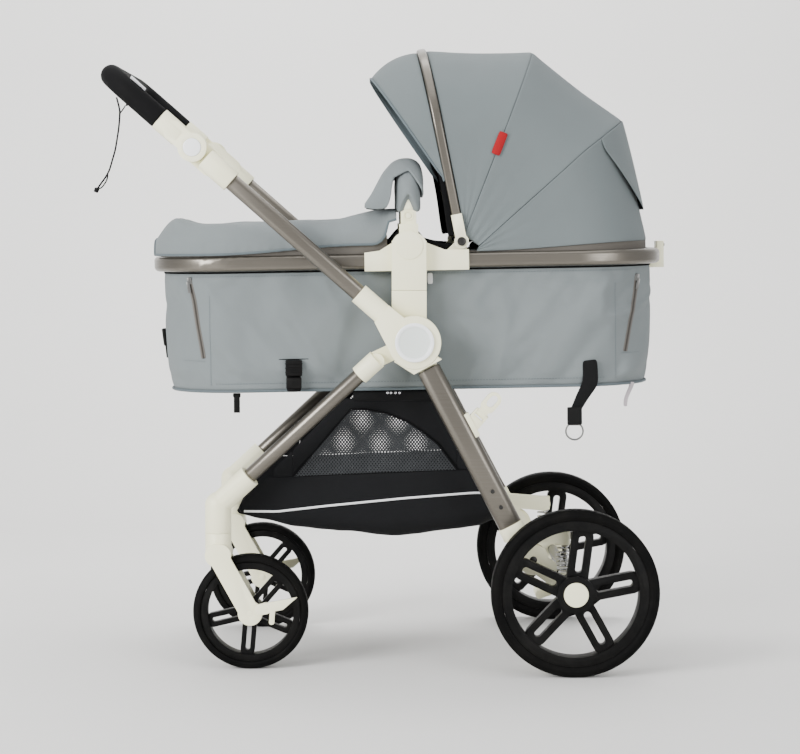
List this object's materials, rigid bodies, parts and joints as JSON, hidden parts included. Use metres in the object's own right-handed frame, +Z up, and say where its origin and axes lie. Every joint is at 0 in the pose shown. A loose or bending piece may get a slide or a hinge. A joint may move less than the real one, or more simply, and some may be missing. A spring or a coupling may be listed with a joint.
{
  "type": "baby stroller",
  "caption": "Baby stroller with a lift-off carrycot, a folding canopy, a bumper bar, a two-way push handle, swivelling front casters, sprung rear wheels and a basket below.",
  "frame": {"origin": "on the ground under the middle of the stroller", "axes": "+Z up, +X from the small caster wheels to the large wheels, +Y across"},
  "size_m": [0.9655, 0.609, 1.0528],
  "materials": {
    "cream_plastic": "warm cream moulded plastic, satin",
    "white_button": "glossy white plastic",
    "champagne_tube": "anodised champagne aluminium",
    "black_plastic": "matt black plastic",
    "axle_steel": "black painted steel",
    "tyre": "black foam tyre",
    "foam_grip": "black foam",
    "steel_bright": "bright steel",
    "black_fabric": "black woven cloth and mesh",
    "grey_fabric": "blue-grey woven polyester",
    "liner_fabric": "light quilted cotton"
  },
  "bodies": {
    "chassis": {"hub_cores": "cream_plastic", "rear_legs": "champagne_tube", "rear_brackets": "cream_plastic", "rear_crossbar": "champagne_tube", "basket": "black_fabric", "chassis_screws": "steel_bright", "latch_base": "cream_plastic", "rear_springs": "steel_bright"},
    "fold_hook": {"fold_latch": "cream_plastic"},
    "front_frame": {"front_legs": "champagne_tube", "front_brackets": "cream_plastic", "elbows": "cream_plastic", "front_crossbar": "black_plastic"},
    "caster_left": {"fork_left": "cream_plastic"},
    "caster_right": {"fork_right": "cream_plastic"},
    "lock_left": {"lock_lever_left": "cream_plastic"},
    "lock_right": {"lock_lever_right": "cream_plastic"},
    "front_wheel_left": {"front_rim_left": "black_plastic", "front_tyre_left": "tyre"},
    "front_wheel_right": {"front_rim_right": "black_plastic", "front_tyre_right": "tyre"},
    "rear_suspension": {"rear_arms": "cream_plastic", "rear_axle": "axle_steel", "rear_caps": "cream_plastic"},
    "rear_wheel_left": {"rear_rim_left": "black_plastic", "rear_tyre_left": "tyre"},
    "rear_wheel_right": {"rear_rim_right": "black_plastic", "rear_tyre_right": "tyre"},
    "brake": {"brake_pedal": "cream_plastic"},
    "push_arms": {"arm_housings": "cream_plastic", "arm_tubes": "champagne_tube", "hub_caps": "white_button", "tilt_bases": "cream_plastic"},
    "handle": {"tilt_tops": "cream_plastic", "handle_tube": "champagne_tube", "handle_grip": "foam_grip", "wrist_strap": "black_fabric"},
    "tilt_push_left": {"tilt_button_left": "white_button"},
    "tilt_push_right": {"tilt_button_right": "white_button"},
    "seat_adapter": {"adapters": "cream_plastic"},
    "seat": {"seat_rail": "champagne_tube", "rail_joints": "cream_plastic", "cot_body": "grey_fabric", "cot_ends": "grey_fabric", "mattress": "liner_fabric", "apron": "grey_fabric", "seat_screws": "steel_bright", "cot_straps": "black_fabric"},
    "bumper": {"bumper_bar": "black_plastic", "bumper_cover": "grey_fabric"},
    "bumper_push_left": {"bumper_button_left": "cream_plastic"},
    "bumper_push_right": {"bumper_button_right": "cream_plastic"},
    "canopy_back": {"canopy_rib_rear": "black_plastic", "canopy_panel_rear": "grey_fabric"},
    "canopy_middle": {"canopy_rib_mid": "black_plastic", "canopy_panel_mid": "grey_fabric"},
    "canopy_front": {"canopy_bow": "champagne_tube", "canopy_brackets": "cream_plastic", "canopy_visor": "grey_fabric", "canopy_panel_front": "grey_fabric"}
  },
  "joints": [
    {"name": "handle_swing", "type": "hinge", "parent": "chassis", "child": "push_arms", "pos_m": [0.0405, 0, 0.555], "axis": [0, 1, 0], "range_deg": [0, 98]},
    {"name": "handle_tilt", "type": "hinge", "parent": "push_arms", "child": "handle", "pos_m": [-0.32612, 0, 0.87708], "axis": [0, -1, 0], "range_deg": [-60, 15]},
    {"name": "tilt_press_left", "type": "slide", "parent": "handle", "child": "tilt_push_left", "axis": [0, 1, 0], "range_m": [0, 0.003], "stiffness_N_per_m": 600, "springref_m": -0.001},
    {"name": "tilt_press_right", "type": "slide", "parent": "handle", "child": "tilt_push_right", "axis": [0, -1, 0], "range_m": [0, 0.003], "stiffness_N_per_m": 600, "springref_m": -0.001},
    {"name": "front_fold", "type": "hinge", "parent": "chassis", "child": "front_frame", "pos_m": [0.0405, 0, 0.555], "axis": [0, -1, 0], "range_deg": [0, 45]},
    {"name": "caster_left", "type": "hinge", "parent": "front_frame", "child": "caster_left", "pos_m": [-0.29, -0.2, 0.231], "axis": [0, 0, 1], "continuous": true},
    {"name": "caster_right", "type": "hinge", "parent": "front_frame", "child": "caster_right", "pos_m": [-0.29, 0.2, 0.231], "axis": [0, 0, 1], "continuous": true},
    {"name": "lever_left", "type": "hinge", "parent": "caster_left", "child": "lock_left", "pos_m": [-0.209, -0.2, 0.107], "axis": [0, -1, 0], "range_deg": [0, 20]},
    {"name": "lever_right", "type": "hinge", "parent": "caster_right", "child": "lock_right", "pos_m": [-0.209, 0.2, 0.107], "axis": [0, -1, 0], "range_deg": [0, 20]},
    {"name": "front_spin_left", "type": "hinge", "parent": "caster_left", "child": "front_wheel_left", "pos_m": [-0.2355, -0.2, 0.0975], "axis": [0, 1, 0], "continuous": true},
    {"name": "front_spin_right", "type": "hinge", "parent": "caster_right", "child": "front_wheel_right", "pos_m": [-0.2355, 0.2, 0.0975], "axis": [0, 1, 0], "continuous": true},
    {"name": "suspension", "type": "hinge", "parent": "chassis", "child": "rear_suspension", "pos_m": [0.24, 0, 0.19], "axis": [0, -1, 0], "range_deg": [0, 5], "stiffness_Nm_per_rad": 90, "springref_deg": -8.02, "deforming": ["rear_springs"]},
    {"name": "rear_spin_left", "type": "hinge", "parent": "rear_suspension", "child": "rear_wheel_left", "pos_m": [0.307, -0.279, 0.14], "axis": [0, 1, 0], "continuous": true},
    {"name": "rear_spin_right", "type": "hinge", "parent": "rear_suspension", "child": "rear_wheel_right", "pos_m": [0.307, 0.279, 0.14], "axis": [0, 1, 0], "continuous": true},
    {"name": "brake_press", "type": "hinge", "parent": "rear_suspension", "child": "brake", "pos_m": [0.307, 0, 0.14], "axis": [0, -1, 0], "range_deg": [0, 18]},
    {"name": "seat_lift", "type": "slide", "parent": "chassis", "child": "seat_adapter", "axis": [0, 0, 1], "range_m": [0, 0.08]},
    {"name": "seat_tilt", "type": "hinge", "parent": "seat_adapter", "child": "seat", "pos_m": [0.032, 0, 0.715], "axis": [0, -1, 0], "range_deg": [0, 3]},
    {"name": "bumper_lift", "type": "slide", "parent": "seat", "child": "bumper", "axis": [-0.0175, 0, 0.9998], "range_m": [0, 0.045]},
    {"name": "bumper_press_left", "type": "slide", "parent": "bumper", "child": "bumper_push_left", "axis": [0, 1, 0], "range_m": [0, 0.0012], "stiffness_N_per_m": 400, "springref_m": -0.001},
    {"name": "bumper_press_right", "type": "slide", "parent": "bumper", "child": "bumper_push_right", "axis": [0, -1, 0], "range_m": [0, 0.0012], "stiffness_N_per_m": 400, "springref_m": -0.001},
    {"name": "canopy_fold", "type": "hinge", "parent": "seat", "child": "canopy_back", "pos_m": [0.11999, 0, 0.72204], "axis": [0, 1, 0], "range_deg": [0, 24], "deforming": ["canopy_panel_rear"]},
    {"name": "canopy_fold_middle", "type": "hinge", "parent": "canopy_back", "child": "canopy_middle", "pos_m": [0.11999, 0, 0.72204], "axis": [0, 1, 0], "range_deg": [0, 24], "deforming": ["canopy_panel_mid"]},
    {"name": "canopy_fold_front", "type": "hinge", "parent": "canopy_middle", "child": "canopy_front", "pos_m": [0.11999, 0, 0.72204], "axis": [0, 1, 0], "range_deg": [0, 24], "deforming": ["canopy_panel_front"]},
    {"name": "hook_fold", "type": "hinge", "parent": "chassis", "child": "fold_hook", "pos_m": [0.15153, -0.238, 0.43437], "axis": [-0.7513, 0, 0.66], "range_deg": [0, 80]}
  ],
  "couplings": [
    {"joint": "canopy_fold_middle", "follows": "canopy_fold", "ratio": 1},
    {"joint": "canopy_fold_front", "follows": "canopy_fold", "ratio": 1}
  ]
}
